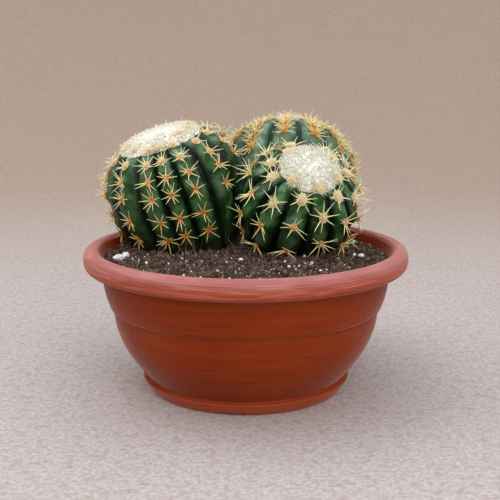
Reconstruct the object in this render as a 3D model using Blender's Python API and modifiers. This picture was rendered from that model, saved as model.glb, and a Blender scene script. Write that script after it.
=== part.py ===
"""Three golden barrel cacti planted together in a moulded plastic bowl.

The origin is on the surface that the bowl stands on, at the middle of its foot, with +Z up and
the front of the bowl towards -Y. Each plant is a ribbed stem with a cap of wool on its crown and
one row of spine clusters along each rib.
"""

import math
import random

import bmesh
import bpy
from mathutils import Matrix, Vector

GAP = 0.0003

# Bowl
RIM_RADIUS = 0.125
RIM_TOP = 0.1112
LIP_BASE = 0.0954
LIP_CENTRE_RADIUS = 0.117
MOUTH_RADIUS = 0.1142
WALL = 0.003
FOOT_RADIUS = 0.0755
FOOT_HEIGHT = 0.0096
FOOT_FLARE = 0.0058
FOOT_WIDTH = 0.0045
FLOOR_BOTTOM = 0.0025
FLOOR_TOP = 0.0058
WALL_BASE_RADIUS = 0.076
STEP_RADIUS = 0.103
STEP_HEIGHT = 0.0645
BAND_BASE_RADIUS = 0.1057
BAND_BASE = 0.066
BAND_TOP_RADIUS = 0.1113
LIP_ROUNDNESS = 0.75
MOUTH_DROP = 0.0014
MOUTH_FLARE = 1.6
FLARE_DROP = 0.0024
FLOOR_FILLET = 0.004
FOOT_EDGE = 0.0006
LOWER_WALL_RINGS = 7
BAND_HEIGHTS = (0.084, 0.073)
SOIL_WALL_HEIGHTS = (0.074, 0.084, 0.093, 0.098)
MOUTH_HEIGHTS = (0.103, 0.107)
LIP_RINGS = 8
BOWL_SEGMENTS = 48
NOTCH_COUNT = 4
NOTCH_WIDTH = 0.0195
NOTCH_HEIGHT = 0.002
FIRST_NOTCH_TURN = -8.0
DRAIN_HOLES = 4
DRAIN_HOLE_RADIUS = 0.004
DRAIN_HOLE_PLACE = 0.045
DRAIN_HOLE_SEGMENTS = 16
DRAIN_CUTTER_DEPTH = 0.012

# Soil
SOIL_EDGE = 0.1015
SOIL_CROWN = 0.1045
POCKET_GAP = 0.0012
SOIL_BASE_FILLET = 0.006

# Stems: rings of points from crown to base, and points around each rib
STEM_RINGS = 15
POINTS_PER_RIB = 4
CREST_SHARPNESS = 0.6
FURROW_START = (8.0, 45.0)
FURROW_END = (105.0, 150.0)
FURROW_LOSS = 0.7
ANGLE_STEP = 2.0
PHASE_STEP = 0.04
BASE_HEIGHT_POWER = 0.92
PRESS_WIDTH = 0.007
RIM_SPACE = 0.0015
RIM_BULGE = 1.2
REAR_LIMIT = 0.1143

# Spines and wool
SPINE_LENGTH = 0.0075
HUB_RADIUS = 0.0015
FELT_RADIUS = 0.0005
FELT_GAP = 0.0007
FELT_STEP = 12.0
SPINE_RISE = 0.42
CENTRAL_SPINE_RISE = 1.4
CROWN_SPINE_SHARE = 0.35
SPINE_GROWTH = 0.9
SHORTEST_SPINE = 0.9
SOIL_CLEARANCE = 0.006
STEM_CLEARANCE = 0.0015
WOOL_MARGIN = 6.0
WOOL_THICKNESS = 0.0045
WOOL_RINGS = 4
WOOL_COLUMNS = 20

# Perlite lumps: width and height against length, and how far their faces stand in
LUMP_WIDTHS = (0.65, 0.8)
LUMP_HEIGHTS = (0.5, 0.6)
LUMP_ROUGHNESS = 0.14

WELD_DISTANCE = 0.00001
SEED = 41


class Plant:
    """One cactus: where its stem stands, its size, its lean, and its ribs."""

    def __init__(self, name, centre, radius, crown, base, lean, ribs, areoles, shifts, wool_angle,
                 rib_depth, crown_width, crown_height, base_power):
        self.name = name
        self.centre = Vector(centre)
        self.radius = radius
        self.crown = crown
        self.base = base
        side, forward = lean
        self.turn = Matrix.Rotation(math.radians(side), 3, "Y") @ Matrix.Rotation(math.radians(forward), 3, "X")
        self.ribs = [math.radians(angle) for angle in ribs]
        self.areoles = areoles
        self.shifts = shifts
        self.wool_angle = wool_angle
        self.rib_depth = rib_depth
        self.crown_width = crown_width
        self.crown_height = crown_height
        self.base_power = base_power
        self.meetings = []
        self.limits = []

    def azimuth(self, phase):
        """The angle round the stem at a rib number, where 2.5 is the furrow after rib 2."""
        count = len(self.ribs)
        whole = math.floor(phase)
        start = self.ribs[whole % count]
        end = self.ribs[(whole + 1) % count]
        width = (end - start) % (2 * math.pi)
        return start + (phase - whole) * width

    def depth_at(self, polar):
        """How deep the furrows are: shallow at the crown and at the base."""
        degrees = math.degrees(polar)
        fade_in = smooth(*FURROW_START, degrees)
        fade_out = 1.0 - FURROW_LOSS * smooth(*FURROW_END, degrees)
        return self.rib_depth * fade_in * fade_out

    def smooth_point(self, azimuth, polar, grow):
        """A point of the stem without its furrows, in the stem's own frame."""
        sine = math.sin(polar)
        cosine = math.cos(polar)
        if cosine > 0:
            reach = (self.radius + grow) * sine ** self.crown_width
            up = (self.crown + grow) * cosine ** self.crown_height
        else:
            reach = (self.radius + grow) * sine ** self.base_power
            up = -(self.base + grow) * abs(cosine) ** BASE_HEIGHT_POWER
        return Vector((reach * math.sin(azimuth), -reach * math.cos(azimuth), up))

    def point(self, phase, polar, grow=0.0):
        """A point of the ribbed stem, in the bowl's frame, pressed flat where it meets a neighbour."""
        crest = abs(math.cos(math.pi * phase))
        furrow = 1.0 - self.depth_at(polar) * (1.0 - crest ** CREST_SHARPNESS)
        local = self.smooth_point(self.azimuth(phase), polar, grow)
        return self.placed(Vector((local.x * furrow, local.y * furrow, local.z)))

    def placed(self, local):
        """A point of the stem's own frame in the bowl's frame, kept out of neighbours and rim."""
        place = self.centre + self.turn @ local
        for where, towards in self.meetings + self.limits:
            place = pressed(place, where, towards)
        return inside_rim(place)

    def outward(self, phase, polar):
        """The direction that points away from the stem at a rib's crest."""
        step = math.radians(ANGLE_STEP)
        along = self.point(phase, polar + step) - self.point(phase, polar - step)
        across = self.point(phase + PHASE_STEP, polar) - self.point(phase - PHASE_STEP, polar)
        return along.cross(across).normalized()


def smooth(low, high, value):
    """A step from 0 to 1 between low and high."""
    share = min(max((value - low) / (high - low), 0.0), 1.0)
    return share * share * (3.0 - 2.0 * share)


def pressed(place, where, towards):
    """Moves a point that lies past a contact plane back to its near side, ever closer to the plane."""
    past = (place - where).dot(towards) + PRESS_WIDTH
    if past <= 0.0:
        return place
    kept = PRESS_WIDTH * (1.0 - math.exp(-past / PRESS_WIDTH))
    return place + (kept - past) * towards


def inside_rim(place):
    """Moves a point that would lie in the bowl's wall inwards, and lets the stem bulge over the rim."""
    above = max(place.z - RIM_TOP - RIM_SPACE, 0.0)
    limit = inner_radius(min(place.z, RIM_TOP - MOUTH_DROP)) - RIM_SPACE + RIM_BULGE * above
    radius = math.hypot(place.x, place.y)
    past = radius - limit + PRESS_WIDTH
    if past <= 0.0:
        return place
    kept = PRESS_WIDTH * (1.0 - math.exp(-past / PRESS_WIDTH))
    share = (radius - past + kept) / radius
    return Vector((place.x * share, place.y * share, place.z))


def even_ribs(count, first):
    return [first + 360.0 * number / count for number in range(count)]


LEFT = Plant(
    name="left",
    centre=(-0.0555, 0.042, 0.147),
    radius=0.057,
    crown=0.047,
    base=0.055,
    lean=(-17.0, 9.0),
    ribs=[-130, -103, -76, -43, -15, 1, 20, 48, 77, 108, 140, 171, 201],
    areoles=[44, 63, 80, 95, 111],
    shifts=[-4, -4, -5, -4, 0, 0, 2, -8, -8, -6, -4, -4, -4],
    wool_angle=28.0,
    rib_depth=0.16,
    crown_width=0.74,
    crown_height=0.72,
    base_power=0.45,
)
RIGHT = Plant(
    name="right",
    centre=(0.0415, 0.012, 0.1405),
    radius=0.0475,
    crown=0.0425,
    base=0.046,
    lean=(13.0, 38.0),
    ribs=[-64, -35, -5, 24, 52, 79, 106, 133, 160, 187, 214, 241, 268],
    areoles=[35, 64, 93, 121],
    shifts=[0, 16, 0, 16, 0, 16, 0, 16, 0, 16, 0, 16, 0],
    wool_angle=26.0,
    rib_depth=0.2,
    crown_width=0.87,
    crown_height=0.92,
    base_power=0.9,
)
REAR = Plant(
    name="rear",
    centre=(0.035, 0.071, 0.1515),
    radius=0.0565,
    crown=0.048,
    base=0.050,
    lean=(5.0, -28.0),
    ribs=even_ribs(13, -175.0),
    areoles=[32, 49, 66, 83, 100],
    shifts=[0] * 13,
    wool_angle=20.0,
    rib_depth=0.17,
    crown_width=0.82,
    crown_height=0.86,
    base_power=1.1,
)
PLANTS = [LEFT, RIGHT, REAR]

# Each pair of stems meets at a plane: the share of the way from the first centre to the second
MEETINGS = [(LEFT, RIGHT, 0.53), (LEFT, REAR, 0.49), (RIGHT, REAR, 0.47)]

# Larger perlite lumps on the soil: place, longest half-size
LUMPS = [
    ("perlite_lump_1", (-0.0958, -0.0225), 0.0050),
    ("perlite_lump_2", (-0.0925, -0.0120), 0.0045),
    ("perlite_lump_3", (0.0885, -0.0125), 0.0028),
    ("perlite_lump_4", (-0.0037, -0.0353), 0.0026),
]


def set_meetings():
    """Presses each pair of stems flat where they meet, and keeps the rear one over the bowl."""
    for first, second, share in MEETINGS:
        between = second.centre - first.centre
        towards = between.normalized()
        where = first.centre + share * between
        first.meetings.append((where - GAP * towards, towards))
        second.meetings.append((where + GAP * towards, -towards))
    REAR.limits.append((Vector((0.0, REAR_LIMIT, 0.0)), Vector((0.0, 1.0, 0.0))))


def clear_scene():
    for old in list(bpy.data.objects):
        bpy.data.objects.remove(old, do_unlink=True)


def new_collection(name):
    group = bpy.data.collections.new(name)
    bpy.context.scene.collection.children.link(group)
    return group


def new_material(name, colour, roughness, metallic=0.0):
    material = bpy.data.materials.new(name)
    material.use_nodes = True
    shader = material.node_tree.nodes["Principled BSDF"]
    shader.inputs["Base Color"].default_value = (*colour, 1.0)
    shader.inputs["Roughness"].default_value = roughness
    shader.inputs["Metallic"].default_value = metallic
    material.diffuse_color = (*colour, 1.0)
    return material


def add_object(name, mesh, group, material):
    thing = bpy.data.objects.new(name, mesh)
    group.objects.link(thing)
    if material is not None:
        mesh.materials.append(material)
    return thing


def mesh_from(bm, name):
    mesh = bpy.data.meshes.new(name)
    bm.to_mesh(mesh)
    bm.free()
    return mesh


def turned(name, profile, segments, group, material):
    """A solid of revolution from (radius, height) points that run down its outer side."""
    bm = bmesh.new()
    corners = [bm.verts.new((radius, 0.0, height)) for radius, height in profile]
    for above, below in zip(corners, corners[1:]):
        bm.edges.new((above, below))
    thing = add_object(name, mesh_from(bm, name), group, material)
    screw = thing.modifiers.new("turn", "SCREW")
    screw.steps = segments
    screw.render_steps = segments
    screw.use_merge_vertices = True
    screw.merge_threshold = WELD_DISTANCE
    screw.use_smooth_shade = True
    return thing


def cut(thing, cutter):
    boolean = thing.modifiers.new("cut_" + cutter.name, "BOOLEAN")
    boolean.operation = "DIFFERENCE"
    boolean.solver = "EXACT"
    boolean.object = cutter


def hide_cutter(cutter):
    cutter.hide_render = True
    cutter.display_type = "WIRE"


def wall_radius(height):
    """The outer radius of the bowl's wall: a curved lower wall, a step, and a band under the lip."""
    if height < BAND_BASE:
        share = (height - FOOT_HEIGHT) / (STEP_HEIGHT - FOOT_HEIGHT)
        share = min(max(share, 0.0), 1.0)
        return STEP_RADIUS - (STEP_RADIUS - WALL_BASE_RADIUS) * (1.0 - share) ** 2
    share = min((height - BAND_BASE) / (LIP_BASE - BAND_BASE), 1.0)
    return BAND_BASE_RADIUS + (BAND_TOP_RADIUS - BAND_BASE_RADIUS) * (1.0 - (1.0 - share) ** 2)


def inner_radius(height):
    """The inner radius of the bowl, which opens out to the mouth above the wall."""
    start = LIP_BASE - FLARE_DROP
    if height < start:
        return wall_radius(height) - WALL
    share = (height - start) / (RIM_TOP - MOUTH_DROP - start)
    low = wall_radius(start) - WALL
    return low + (MOUTH_RADIUS - low) * share ** MOUTH_FLARE


def steps_between(low, high, count):
    return [low + (high - low) * number / count for number in range(count + 1)]


def inner_heights():
    """The heights of the inner wall's corners below the soil's edge."""
    return steps_between(FOOT_HEIGHT + 0.002, STEP_HEIGHT, 5) + list(SOIL_WALL_HEIGHTS)


def bowl_profile():
    """Inner floor, inner wall, lip, outer wall and foot, as one line that ends under the floor."""
    profile = [(0.0, FLOOR_TOP), (wall_radius(FOOT_HEIGHT) - WALL - FLOOR_FILLET, FLOOR_TOP)]
    for height in inner_heights() + list(MOUTH_HEIGHTS):
        profile.append((inner_radius(height), height))
    profile.append((MOUTH_RADIUS, RIM_TOP - MOUTH_DROP))
    lip_half = (RIM_TOP - LIP_BASE) / 2.0
    lip_middle = (RIM_TOP + LIP_BASE) / 2.0
    bulge = RIM_RADIUS - LIP_CENTRE_RADIUS
    for angle in steps_between(90.0, -90.0, LIP_RINGS):
        across = math.cos(math.radians(angle))
        up = math.sin(math.radians(angle))
        radius = LIP_CENTRE_RADIUS + bulge * max(across, 0.0) ** LIP_ROUNDNESS
        profile.append((radius, lip_middle + lip_half * math.copysign(abs(up) ** LIP_ROUNDNESS, up)))
    profile.append((BAND_TOP_RADIUS, LIP_BASE))
    for height in BAND_HEIGHTS + (BAND_BASE,):
        profile.append((wall_radius(height), height))
    for height in reversed(steps_between(FOOT_HEIGHT, STEP_HEIGHT, LOWER_WALL_RINGS)):
        profile.append((wall_radius(height), height))
    foot_top = FOOT_RADIUS + FOOT_FLARE
    profile.append((foot_top - FOOT_EDGE, FOOT_HEIGHT))
    profile.append((foot_top, FOOT_HEIGHT - 0.001))
    profile.append((FOOT_RADIUS + 0.0004, FOOT_EDGE))
    profile.append((FOOT_RADIUS, 0.0))
    profile.append((FOOT_RADIUS - FOOT_WIDTH, 0.0))
    profile.append((FOOT_RADIUS - FOOT_WIDTH - 0.001, FLOOR_BOTTOM))
    profile.append((0.0, FLOOR_BOTTOM))
    return profile


def make_bowl(group, cutters, material):
    bowl = turned("bowl", bowl_profile(), BOWL_SEGMENTS, group, material)
    for number in range(NOTCH_COUNT):
        turn = math.radians(FIRST_NOTCH_TURN + 360.0 * number / NOTCH_COUNT)
        place = Vector((math.sin(turn), -math.cos(turn), 0.0)) * (FOOT_RADIUS - FOOT_WIDTH / 2.0)
        bm = bmesh.new()
        size = Matrix.Diagonal((NOTCH_WIDTH, 4.0 * FOOT_WIDTH, 2.0 * NOTCH_HEIGHT, 1.0))
        bmesh.ops.create_cube(bm, size=1.0, matrix=size)
        notch = add_object(f"notch_cutter_{number + 1}", mesh_from(bm, "notch"), cutters, None)
        notch.location = place
        notch.rotation_euler.z = turn
        hide_cutter(notch)
        cut(bowl, notch)
    for number in range(DRAIN_HOLES):
        turn = math.radians(45.0 + 360.0 * number / DRAIN_HOLES)
        bm = bmesh.new()
        bmesh.ops.create_cone(bm, cap_ends=True, segments=DRAIN_HOLE_SEGMENTS, radius1=DRAIN_HOLE_RADIUS,
                              radius2=DRAIN_HOLE_RADIUS, depth=DRAIN_CUTTER_DEPTH)
        hole = add_object(f"drain_cutter_{number + 1}", mesh_from(bm, "drain"), cutters, None)
        across = DRAIN_HOLE_PLACE * math.sin(turn)
        hole.location = (across, -DRAIN_HOLE_PLACE * math.cos(turn), FLOOR_BOTTOM)
        hide_cutter(hole)
        cut(bowl, hole)
    return bowl


def soil_height(radius):
    """The soil lies a little higher in the middle of the bowl than at the wall."""
    share = min(radius / inner_radius(SOIL_EDGE), 1.0)
    return SOIL_CROWN - (SOIL_CROWN - SOIL_EDGE) * share ** 2


def make_soil(group, cutters, material):
    profile = [(0.0, SOIL_CROWN)]
    edge = inner_radius(SOIL_EDGE) - GAP
    for radius in steps_between(edge / 4.0, edge, 3):
        profile.append((radius, soil_height(radius)))
    for height in reversed(inner_heights()):
        profile.append((inner_radius(height) - GAP, height))
    profile.append((inner_radius(FOOT_HEIGHT) - SOIL_BASE_FILLET, FLOOR_TOP + GAP))
    profile.append((0.0, FLOOR_TOP + GAP))
    soil = turned("soil", profile, BOWL_SEGMENTS, group, material)
    for plant in PLANTS:
        pocket = add_object(f"{plant.name}_pocket", stem_mesh(plant, POCKET_GAP), cutters, None)
        hide_cutter(pocket)
        cut(soil, pocket)
    return soil


def stem_mesh(plant, grow):
    """A sphere whose points are moved out to the ribbed stem."""
    bm = bmesh.new()
    columns = POINTS_PER_RIB * len(plant.ribs)
    bmesh.ops.create_uvsphere(bm, u_segments=columns, v_segments=STEM_RINGS, radius=1.0)
    for vert in bm.verts:
        polar = math.acos(min(max(vert.co.z, -1.0), 1.0))
        around = math.atan2(vert.co.x, -vert.co.y)
        column = round(around / (2.0 * math.pi) * columns)
        vert.co = plant.point(column / POINTS_PER_RIB, polar, grow)
    return mesh_from(bm, plant.name)


def make_stem(plant, group, material):
    mesh = stem_mesh(plant, 0.0)
    mesh.shade_smooth()
    return add_object(f"{plant.name}_stem", mesh, group, material)


def make_wool(plant, group, material):
    """A cap of felt over the crown: the stem's own top surface, thickened outwards."""
    bm = bmesh.new()
    top = bm.verts.new(plant.placed(plant.smooth_point(0.0, 0.0, 2.0 * GAP)))
    inner = []
    for ring in range(WOOL_RINGS):
        polar = math.radians(plant.wool_angle) * (ring + 1) / WOOL_RINGS
        outer = []
        for column in range(WOOL_COLUMNS):
            azimuth = 2.0 * math.pi * column / WOOL_COLUMNS
            outer.append(bm.verts.new(plant.placed(plant.smooth_point(azimuth, polar, 2.0 * GAP))))
        for column in range(WOOL_COLUMNS):
            after = (column + 1) % WOOL_COLUMNS
            if inner:
                bm.faces.new((inner[column], outer[column], outer[after], inner[after]))
            else:
                bm.faces.new((top, outer[column], outer[after]))
        inner = outer
    wool = add_object(f"{plant.name}_wool", mesh_from(bm, f"{plant.name}_wool"), group, material)
    shell = wool.modifiers.new("thickness", "SOLIDIFY")
    shell.thickness = WOOL_THICKNESS
    shell.offset = 1.0
    return wool


def rib_has_room(plant, phase, polar):
    """Whether a cluster on this rib is clear of the soil, the rim and the other stems."""
    place = plant.point(phase, polar)
    reach = SPINE_LENGTH + HUB_RADIUS
    tip = place + plant.outward(phase, polar) * reach
    radius = math.hypot(tip.x, tip.y)
    if min(place.z, tip.z) < SOIL_CROWN + SOIL_CLEARANCE:
        return False
    if radius > MOUTH_RADIUS - reach and min(place.z, tip.z) < RIM_TOP + reach:
        return False
    for where, towards in plant.meetings:
        if (place - where).dot(towards) > -(reach + STEM_CLEARANCE):
            return False
    return True


def rib_areoles(plant, rib):
    angles = [math.radians(angle + plant.shifts[rib]) for angle in plant.areoles]
    lowest = math.radians(plant.wool_angle + WOOL_MARGIN)
    return [polar for polar in angles if polar > lowest and rib_has_room(plant, rib, polar)]


def add_cluster(bm, plant, rib, polar, rng):
    """A hub on the crest whose faces are drawn out to spines: five to the sides and one upwards."""
    out = plant.outward(rib, polar)
    step = math.radians(ANGLE_STEP) / 2.0
    down = (plant.point(rib, polar + step) - plant.point(rib, polar - step)).normalized()
    side = down.cross(out)
    frame = Matrix((side, down, out)).transposed()
    spin = Matrix.Rotation(rng.uniform(0.0, 2.0 * math.pi), 3, "Z")
    place = plant.point(rib, polar) + out * (FELT_RADIUS + FELT_GAP)
    made = bmesh.ops.create_icosphere(bm, subdivisions=1, radius=HUB_RADIUS)
    verts = made["verts"]
    faces = {face for vert in verts for face in vert.link_faces}
    sides = [f for f in faces if 0.0 < f.calc_center_median().z < 0.5 * HUB_RADIUS]
    tops = [f for f in faces if f.calc_center_median().z >= 0.5 * HUB_RADIUS]
    tops.sort(key=lambda f: math.atan2(f.calc_center_median().y, f.calc_center_median().x))
    drawn = sorted(sides, key=lambda f: math.atan2(f.calc_center_median().y, f.calc_center_median().x))
    drawn += tops[:1]
    length = SPINE_LENGTH * min(1.0, CROWN_SPINE_SHARE + SPINE_GROWTH * math.sin(polar))
    poked = bmesh.ops.poke(bm, faces=drawn)
    tips = poked["verts"]
    for tip in tips:
        flat = Vector((tip.co.x, tip.co.y, 0.0)).normalized()
        rise = SPINE_RISE if tip.co.z < 0.5 * HUB_RADIUS else CENTRAL_SPINE_RISE
        tip.co = (flat + Vector((0.0, 0.0, rise))).normalized() * length * rng.uniform(SHORTEST_SPINE, 1.0)
    for vert in list(verts) + list(tips):
        local = spin @ vert.co
        if vert not in tips and local.z < 0.0:
            local.z *= FELT_RADIUS / HUB_RADIUS
        vert.co = place + frame @ local


def make_spine_row(plant, rib, polars, group, material, rng):
    """The clusters of one rib, joined along the crest by a thin line of felt."""
    bm = bmesh.new()
    for polar in polars:
        add_cluster(bm, plant, rib, polar, rng)
    clusters = mesh_from(bm, "clusters")
    name = f"{plant.name}_spines_{rib + 1:02d}"
    row = add_object(name, clusters, group, material)
    if len(polars) == 1:
        return row
    curve = bpy.data.curves.new("felt", "CURVE")
    curve.dimensions = "3D"
    curve.bevel_depth = FELT_RADIUS
    curve.bevel_resolution = 0
    curve.use_fill_caps = True
    count = max(2, round(math.degrees(polars[-1] - polars[0]) / FELT_STEP))
    line = curve.splines.new("POLY")
    line.points.add(count)
    for number, polar in enumerate(steps_between(polars[0], polars[-1], count)):
        place = plant.point(rib, polar) + plant.outward(rib, polar) * (FELT_RADIUS + FELT_GAP)
        line.points[number].co = (*place, 1.0)
    guide = bpy.data.objects.new("felt_guide", curve)
    group.objects.link(guide)
    bpy.context.view_layer.update()
    felt = bpy.data.meshes.new_from_object(guide.evaluated_get(bpy.context.evaluated_depsgraph_get()))
    bpy.data.objects.remove(guide, do_unlink=True)
    welded = bmesh.new()
    welded.from_mesh(felt)
    bmesh.ops.remove_doubles(welded, verts=welded.verts, dist=WELD_DISTANCE)
    strip = mesh_from(welded, f"{name}_felt")
    holder = add_object(f"{name}_felt", strip, bpy.data.collections["cutters"], None)
    hide_cutter(holder)
    union = row.modifiers.new("felt", "BOOLEAN")
    union.operation = "UNION"
    union.solver = "EXACT"
    union.object = holder
    return row


def make_lump(name, place, size, group, material, rng):
    """A rough grain of perlite that rests on the soil."""
    bm = bmesh.new()
    bmesh.ops.create_icosphere(bm, subdivisions=2, radius=1.0)
    stretch = Vector((1.0, rng.uniform(*LUMP_WIDTHS), rng.uniform(*LUMP_HEIGHTS)))
    for vert in bm.verts:
        rough = rng.uniform(1.0 - LUMP_ROUGHNESS, 1.0)
        vert.co = Vector(a * b for a, b in zip(vert.co, stretch)) * size * rough
    lowest = min(vert.co.z for vert in bm.verts)
    lump = add_object(name, mesh_from(bm, name), group, material)
    height = soil_height(math.hypot(*place)) + 2.0 * GAP
    lump.location = (place[0], place[1], height - lowest)
    lump.rotation_euler.z = rng.uniform(0.0, math.pi)
    return lump


def build():
    clear_scene()
    group = new_collection("potted_barrel_cacti")
    cutters = new_collection("cutters")
    rng = random.Random(SEED)
    plastic = new_material("terracotta_plastic", (0.36, 0.085, 0.04), 0.55)
    earth = new_material("potting_soil", (0.06, 0.04, 0.03), 0.95)
    green = new_material("cactus_green", (0.035, 0.10, 0.05), 0.5)
    felt = new_material("crown_wool", (0.85, 0.80, 0.66), 0.95)
    horn = new_material("spine_yellow", (0.75, 0.50, 0.20), 0.6)
    chalk = new_material("perlite_white", (0.80, 0.82, 0.82), 0.9)
    set_meetings()
    make_bowl(group, cutters, plastic)
    make_soil(group, cutters, earth)
    for plant in PLANTS:
        make_stem(plant, group, green)
        make_wool(plant, group, felt)
        for rib in range(len(plant.ribs)):
            polars = rib_areoles(plant, rib)
            if polars:
                make_spine_row(plant, rib, polars, group, horn, rng)
    for name, place, size in LUMPS:
        make_lump(name, place, size, group, chalk, rng)


build()
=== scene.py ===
"""The looks of a bowl of three golden barrel cacti: bowl, soil, stems, crown wool and spines."""

import math

import bmesh
import bpy
import numpy as np
from mathutils import Matrix, Vector


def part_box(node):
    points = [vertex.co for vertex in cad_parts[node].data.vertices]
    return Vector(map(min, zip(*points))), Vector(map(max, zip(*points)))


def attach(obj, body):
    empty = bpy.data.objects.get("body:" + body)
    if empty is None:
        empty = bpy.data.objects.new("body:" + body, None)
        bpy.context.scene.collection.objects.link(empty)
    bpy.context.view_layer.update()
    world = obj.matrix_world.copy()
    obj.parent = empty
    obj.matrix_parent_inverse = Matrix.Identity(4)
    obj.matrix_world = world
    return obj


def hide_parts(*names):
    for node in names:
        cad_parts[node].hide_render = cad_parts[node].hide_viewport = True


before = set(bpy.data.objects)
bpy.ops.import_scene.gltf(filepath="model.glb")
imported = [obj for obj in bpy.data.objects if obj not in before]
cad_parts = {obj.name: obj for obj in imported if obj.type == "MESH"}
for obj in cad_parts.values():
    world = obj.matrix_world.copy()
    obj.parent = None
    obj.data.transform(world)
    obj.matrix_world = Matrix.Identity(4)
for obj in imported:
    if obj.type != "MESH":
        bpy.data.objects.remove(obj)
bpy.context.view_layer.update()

# ---------------- sizes, metres and degrees
CAMERA_DISTANCE = 0.7021
CAMERA_HEIGHT = 0.2507
CAMERA_PITCH = 11.61
CAMERA_YAW = -0.26
LENS = 66.2

GAP = 0.0003
RIM_RADIUS = 0.125
RIM_TOP = 0.1112
LIP_BASE = 0.0954
LIP_CENTRE_RADIUS = 0.117
MOUTH_RADIUS = 0.1142
WALL = 0.003
FOOT_RADIUS = 0.0755
FOOT_HEIGHT = 0.0096
FOOT_FLARE = 0.0058
FOOT_WIDTH = 0.0045
FLOOR_BOTTOM = 0.0025
FLOOR_TOP = 0.0058
WALL_BASE_RADIUS = 0.076
STEP_RADIUS = 0.103
STEP_HEIGHT = 0.0645
BAND_BASE_RADIUS = 0.1057
BAND_BASE = 0.066
BAND_TOP_RADIUS = 0.1113
NOTCHES = 4
NOTCH_WIDTH = 0.0195
NOTCH_HEIGHT = 0.002
FIRST_NOTCH_TURN = -8.0
DRAIN_HOLE_RADIUS = 0.004
DRAIN_HOLE_PLACE = 0.045
SOIL_EDGE = 0.1015
SOIL_CROWN = 0.1045
HUMP_HEIGHT = 0.016
HUMP_WIDTH = 0.017
HUMP_PLACE = (-0.004, 0.045)
PRESS_WIDTH = 0.007
RIM_SPACE = 0.0015
RIM_BULGE = 1.2
REAR_LIMIT = 0.1143

# The bowl's fine shapes
MOUTH_DROP = 0.0014
FLARE_DROP = 0.0024
LIP_ROUNDNESS = 0.75
LIP_LINE_HEIGHT = 0.00018
RIPPLE_HEIGHT = 0.00004
RIPPLE_RATE = 2600.0
BOWL_SEGMENTS = 256
DRAIN_HOLES = 4

# The soil's rings, its buried skirt, and its noise as (height, feature size, seed)
SOIL_RINGS = 150
SOIL_COLUMNS = 400
SOIL_SKIRT = (0.0985, 0.090, 0.070)
SOIL_NOISE = ((0.0010, 0.011, 1), (0.0007, 0.0046, 2), (0.0004, 0.0019, 3))
SOIL_BITS = [
    dict(name="soil_crumb_litter", stuff="soil_crumbs", slot="potting_soil", count=3400, least=0.0005,
         extra=0.0017, power=2, flat=(0.5, 0.9), sink=0.35, subdivisions=1, rough=0.25),
    dict(name="soil_clods", stuff="soil_crumbs", slot="potting_soil", count=220, least=0.0013,
         extra=0.0017, power=1.6, flat=(0.5, 0.85), sink=0.3, subdivisions=2, rough=0.4),
    dict(name="soil_sand_grains", stuff="soil_sand", slot="potting_soil", count=700, least=0.0003,
         extra=0.0005, power=1.5, flat=(0.6, 1.0), sink=0.2, subdivisions=1, rough=0.25),
    dict(name="perlite_scatter", stuff="perlite_grains", slot="perlite", count=130, least=0.0005,
         extra=0.0010, power=2, flat=(0.6, 0.95), sink=0.12, subdivisions=2, rough=0.35),
]
FIBRES = 520
FIBRE_LENGTHS = (0.003, 0.011)
FIBRE_RADII = (0.00010, 0.00032)
ROOTLET_LENGTHS = (0.004, 0.013)
ROOTLET_RADII = (0.00010, 0.00024)
PERLITE_LUMPS = 4

# The stems' rings and skin; angles are measured from the crown
STEM_RINGS = 120
COLUMNS_PER_RIB = 20
SKIN_NOISE = ((0.00070, 0.009, 4), (0.00040, 0.004, 5), (0.00014, 0.0016, 6))
CALM_CROWN = (15.0, 45.0)
CREST_AT_CROWN = 0.7

# Spines: how many stand round an areole and in its middle (the last number is never reached)
SPINES_AROUND = (7, 10)
CENTRAL_SPINES = (0, 3)
SPINE_RISE = (8.0, 36.0)
CENTRAL_RISE = (48.0, 78.0)
SPINE_RADII = (0.00050, 0.00068)
SPINE_TAPER = 0.84
PAST_CONTACT = 0.004
CONTACT_ROOM = 0.004
SOIL_ROOM = 0.004
YOUNG_POLAR = (0.55, 1.35)
AREOLE_STEP = 0.03

# Felt and wool
WOOL_THICKNESS = 0.0032
WOOL_EDGE = 0.0003
WOOL_LUMP = 0.35
WOOL_LUMP_SIZE = 0.0045
WOOL_RINGS = 60
WOOL_COLUMNS = 160
WOOL_HAIRS = 3600
HAIR_LENGTH = 0.0034
HAIR_RADIUS = 0.00027
FELT_HAIR_RADIUS = 0.00024
ROOT_DEPTH = 0.0004

# Stems' colours from 0 to 255: deep, middle, pale, bloom; deep is also the painted shade in the furrows, pale
# the painted crest highlight, and bloom is also painted sky light on upward faces
GREEN_SKIN = ((2, 14, 1), (12, 40, 10), (56, 102, 46), (108, 148, 114))
BLUE_SKIN = ((26, 50, 38), (58, 92, 74), (104, 134, 98), (142, 164, 146))

# Stage and lights: name, place, point aimed at, diameter, watts, colour
STAGE_REACH = 2.9
STAGE_RISE = 2.6
STAGE_BEND = 1.9
STAGE_COLUMNS = 96
SKY_COLOUR = (0.93, 0.955, 1.0, 1.0)
SKY_STRENGTH = 1.56
LIGHTS = [
    ("key", (-1.0, 0.2, 1.9), (0.0, 0.0, 0.1), 1.4, 10.0, (1.0, 0.97, 0.93)),
    ("left", (-1.4, -0.4, 0.75), (0.0, 0.0, 0.08), 0.9, 3.2, (1.0, 0.97, 0.95)),
    ("right", (1.4, -0.4, 0.75), (0.0, 0.0, 0.08), 0.9, 1.8, (1.0, 0.97, 0.95)),
    ("front", (0.5, -1.8, 1.0), (0.0, 0.0, 0.05), 1.8, 21.0, (1.0, 0.97, 0.95)),
]

# ---------------- numbers that vary smoothly


def smooth(low, high, value):
    """A step from 0 to 1 between low and high."""
    share = np.clip((value - low) / (high - low), 0.0, 1.0)
    return share * share * (3.0 - 2.0 * share)


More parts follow.
